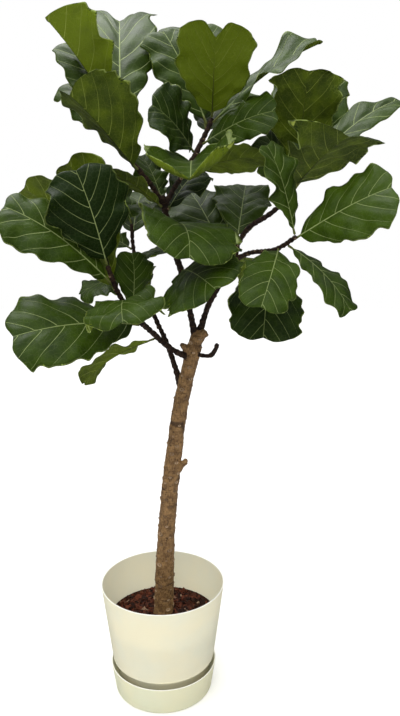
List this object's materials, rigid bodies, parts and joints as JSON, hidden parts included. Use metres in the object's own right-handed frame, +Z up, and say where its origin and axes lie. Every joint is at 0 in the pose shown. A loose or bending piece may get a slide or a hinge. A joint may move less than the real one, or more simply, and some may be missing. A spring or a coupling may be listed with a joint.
{
  "type": "potted fiddle leaf fig",
  "caption": "Fiddle leaf fig grown as a small tree: leaning trunk, forked limbs and broad leaves, in a tapered plastic pot on its water saucer.",
  "frame": {"origin": "centre of the saucer's flat underside, on the surface that the pot stands on", "axes": "+Z straight up the pot's axis; +X to the side that the trunk leans to, seen from the front; +Y to the back"},
  "size_m": [0.7923, 0.6009, 1.5694],
  "materials": {
    "cream_plastic": "satin",
    "cream_plastic_saucer": "satin",
    "potting_soil": "matte",
    "bark": "matte",
    "leaf": "satin"
  },
  "bodies": {
    "root": {"saucer": "cream_plastic_saucer", "pot": "cream_plastic", "soil": "potting_soil", "trunk_and_limbs": "bark", "leaf_centre_01": "leaf", "leaf_centre_02": "leaf", "leaf_centre_03": "leaf", "leaf_centre_04": "leaf", "leaf_centre_05": "leaf", "leaf_centre_06": "leaf", "leaf_centre_07": "leaf", "leaf_left_01": "leaf", "leaf_left_02": "leaf", "leaf_left_03": "leaf", "leaf_left_04": "leaf", "leaf_left_05": "leaf", "leaf_left_06": "leaf", "leaf_left_07": "leaf", "leaf_left_08": "leaf", "leaf_low_right_01": "leaf", "leaf_low_right_02": "leaf", "leaf_low_right_03": "leaf", "leaf_low_right_04": "leaf", "leaf_low_right_05": "leaf", "leaf_rear_01": "leaf", "leaf_rear_02": "leaf", "leaf_rear_03": "leaf", "leaf_rear_04": "leaf", "leaf_rear_05": "leaf", "leaf_right_01": "leaf", "leaf_right_02": "leaf", "leaf_right_03": "leaf", "leaf_right_04": "leaf", "leaf_top_01": "leaf", "leaf_top_02": "leaf", "leaf_top_03": "leaf", "leaf_top_04": "leaf", "leaf_top_05": "leaf", "leaf_top_06": "leaf", "leaf_top_07": "leaf", "leaf_top_08": "leaf", "leaf_top_09": "leaf", "leaf_top_left_01": "leaf", "leaf_top_left_02": "leaf", "leaf_top_left_03": "leaf", "leaf_top_left_04": "leaf", "leaf_top_left_05": "leaf", "leaf_top_right_01": "leaf", "leaf_top_right_02": "leaf", "leaf_top_right_03": "leaf", "leaf_top_right_04": "leaf", "leaf_top_right_05": "leaf"}
  },
  "joints": []
}
